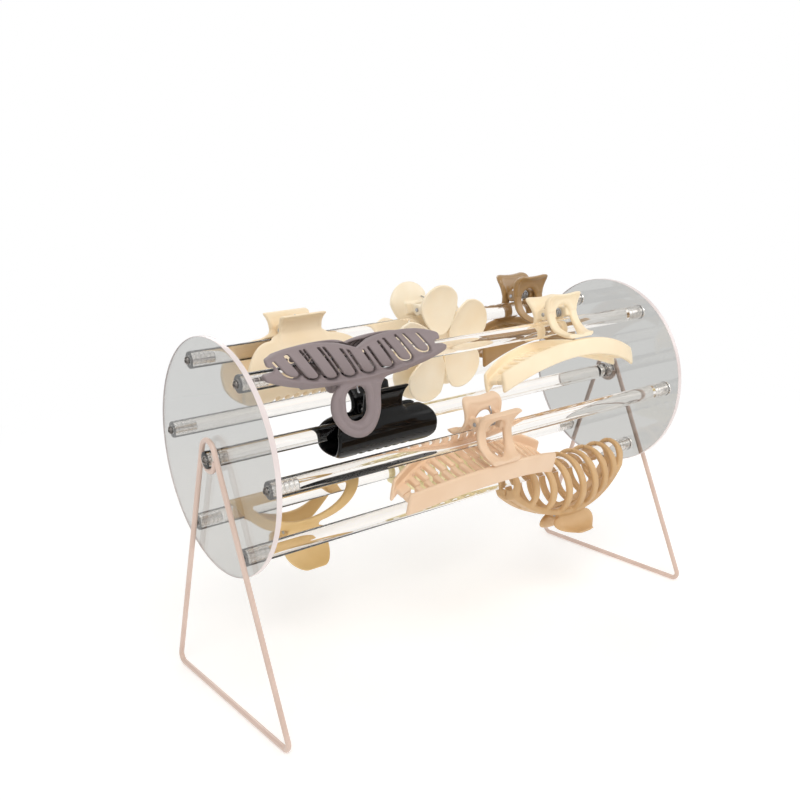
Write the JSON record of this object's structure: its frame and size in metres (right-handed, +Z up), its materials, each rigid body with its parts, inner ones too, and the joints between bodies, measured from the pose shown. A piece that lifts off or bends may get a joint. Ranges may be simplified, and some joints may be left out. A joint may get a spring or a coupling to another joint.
{
  "type": "hair accessory organizer",
  "caption": "Rotating hair accessory organizer: a drum of clear rods between clear discs turns on bent wire stands, with hair claws clipped to the rods.",
  "frame": {"origin": "middle of the footprint, on the table, midway between the two discs", "axes": "+X to the right along the axle, +Y away from the front, +Z up"},
  "size_m": [0.3172, 0.1344, 0.2149],
  "materials": {
    "clear_acrylic": "clear polished acrylic",
    "rose_wire": "satin powder coat, pale rose",
    "steel_fasteners": "bright plated",
    "steel_hinge": "plain drawn wire",
    "cream_plastic": "smooth matt moulding",
    "wave_plastic": "fine matt coating",
    "black_plastic": "high gloss",
    "flower_plastic": "satin enamel",
    "khaki_plastic": "gloss",
    "ivory_plastic": "smooth matt moulding",
    "peach_plastic": "smooth matt moulding",
    "loop_plastic": "satin moulding",
    "ribbed_plastic": "smooth matt moulding",
    "pale_plastic": "satin moulding"
  },
  "bodies": {
    "stands": {"left_stand": "rose_wire", "right_stand": "rose_wire"},
    "cream_claw_jaw": {"cream_claw_rear_jaw": "cream_plastic"},
    "wave_claw_jaw": {"wave_claw_front_jaw": "wave_plastic"},
    "black_claw_jaw": {"black_claw_front_jaw": "black_plastic"},
    "flower_claw_jaw": {"flower_claw_rear_jaw": "flower_plastic"},
    "khaki_claw_jaw": {"khaki_claw_rear_jaw": "khaki_plastic"},
    "ivory_claw_jaw": {"ivory_claw_front_jaw": "ivory_plastic"},
    "peach_claw_jaw": {"peach_claw_front_jaw": "peach_plastic"},
    "loop_claw_jaw": {"loop_claw_front_jaw": "loop_plastic"},
    "ribbed_claw_jaw": {"ribbed_claw_front_jaw": "ribbed_plastic"},
    "pale_claw_jaw": {"pale_claw_rear_jaw": "pale_plastic"},
    "drum": {"left_disc": "clear_acrylic", "right_disc": "clear_acrylic", "rod_1": "clear_acrylic", "rod_2": "clear_acrylic", "rod_3": "clear_acrylic", "rod_4": "clear_acrylic", "rod_5": "clear_acrylic", "rod_6": "clear_acrylic", "axle": "clear_acrylic", "left_screws": "steel_fasteners", "right_screws": "steel_fasteners", "left_inserts": "steel_fasteners", "right_inserts": "steel_fasteners", "cream_claw_front_jaw": "cream_plastic", "cream_claw_pin": "steel_hinge", "cream_claw_spring": "steel_hinge", "wave_claw_rear_jaw": "wave_plastic", "wave_claw_pin": "steel_hinge", "wave_claw_spring": "steel_hinge", "black_claw_rear_jaw": "black_plastic", "black_claw_pin": "steel_hinge", "black_claw_spring": "steel_hinge", "flower_claw_front_jaw": "flower_plastic", "flower_claw_pin": "steel_hinge", "flower_claw_spring": "steel_hinge", "khaki_claw_front_jaw": "khaki_plastic", "khaki_claw_pin": "steel_hinge", "khaki_claw_spring": "steel_hinge", "ivory_claw_rear_jaw": "ivory_plastic", "ivory_claw_pin": "steel_hinge", "ivory_claw_spring": "steel_hinge", "peach_claw_rear_jaw": "peach_plastic", "peach_claw_pin": "steel_hinge", "peach_claw_spring": "steel_hinge", "loop_claw_rear_jaw": "loop_plastic", "loop_claw_pin": "steel_hinge", "loop_claw_spring": "steel_hinge", "ribbed_claw_rear_jaw": "ribbed_plastic", "ribbed_claw_pin": "steel_hinge", "ribbed_claw_spring": "steel_hinge", "pale_claw_front_jaw": "pale_plastic", "pale_claw_pin": "steel_hinge", "pale_claw_spring": "steel_hinge"}
  },
  "joints": [
    {"name": "drum_spin", "type": "hinge", "parent": "stands", "child": "drum", "pos_m": [0, 0, 0.1408], "axis": [1, 0, 0], "continuous": true},
    {"name": "cream_claw_hinge", "type": "hinge", "parent": "drum", "child": "cream_claw_jaw", "pos_m": [-0.085, 0.02257, 0.19834], "axis": [1, 0, 0], "range_deg": [0, 35], "stiffness_Nm_per_rad": 0.12, "springref_deg": -28.65, "deforming": ["cream_claw_spring"]},
    {"name": "wave_claw_hinge", "type": "hinge", "parent": "drum", "child": "wave_claw_jaw", "pos_m": [-0.085, -0.0298, 0.17615], "axis": [1, 0, 0], "range_deg": [0, 35], "stiffness_Nm_per_rad": 0.12, "springref_deg": -28.65, "deforming": ["wave_claw_spring"]},
    {"name": "black_claw_hinge", "type": "hinge", "parent": "drum", "child": "black_claw_jaw", "pos_m": [-0.047, 0, 0.1495], "axis": [-1, 0, 0], "range_deg": [0, 28], "stiffness_Nm_per_rad": 0.12, "springref_deg": -28.65, "deforming": ["black_claw_spring"]},
    {"name": "flower_claw_hinge", "type": "hinge", "parent": "drum", "child": "flower_claw_jaw", "pos_m": [0.013, 0.02257, 0.19834], "axis": [1, 0, 0], "range_deg": [0, 18], "stiffness_Nm_per_rad": 0.12, "springref_deg": -28.65, "deforming": ["flower_claw_spring"]},
    {"name": "khaki_claw_hinge", "type": "hinge", "parent": "drum", "child": "khaki_claw_jaw", "pos_m": [0.093, 0.02257, 0.19834], "axis": [1, 0, 0], "range_deg": [0, 35], "stiffness_Nm_per_rad": 0.12, "springref_deg": -28.65, "deforming": ["khaki_claw_spring"]},
    {"name": "ivory_claw_hinge", "type": "hinge", "parent": "drum", "child": "ivory_claw_jaw", "pos_m": [0.07, -0.02965, 0.19335], "axis": [-1, 0, 0], "range_deg": [0, 35], "stiffness_Nm_per_rad": 0.12, "springref_deg": -28.65, "deforming": ["ivory_claw_spring"]},
    {"name": "peach_claw_hinge", "type": "hinge", "parent": "drum", "child": "peach_claw_jaw", "pos_m": [-0.011, -0.05627, 0.1442], "axis": [-1, 0, 0], "range_deg": [0, 35], "stiffness_Nm_per_rad": 0.12, "springref_deg": -28.65, "deforming": ["peach_claw_spring"]},
    {"name": "loop_claw_hinge", "type": "hinge", "parent": "drum", "child": "loop_claw_jaw", "pos_m": [-0.087, 0.03101, 0.07654], "axis": [1, 0, 0], "range_deg": [0, 35], "stiffness_Nm_per_rad": 0.12, "springref_deg": -28.65, "deforming": ["loop_claw_spring"]},
    {"name": "ribbed_claw_hinge", "type": "hinge", "parent": "drum", "child": "ribbed_claw_jaw", "pos_m": [0.082, -0.02706, 0.05998], "axis": [1, 0, 0], "range_deg": [0, 35], "stiffness_Nm_per_rad": 0.12, "springref_deg": -28.65, "deforming": ["ribbed_claw_spring"]},
    {"name": "pale_claw_hinge", "type": "hinge", "parent": "drum", "child": "pale_claw_jaw", "pos_m": [0.026, 0.03101, 0.07754], "axis": [-1, 0, 0], "range_deg": [0, 35], "stiffness_Nm_per_rad": 0.12, "springref_deg": -28.65, "deforming": ["pale_claw_spring"]}
  ]
}
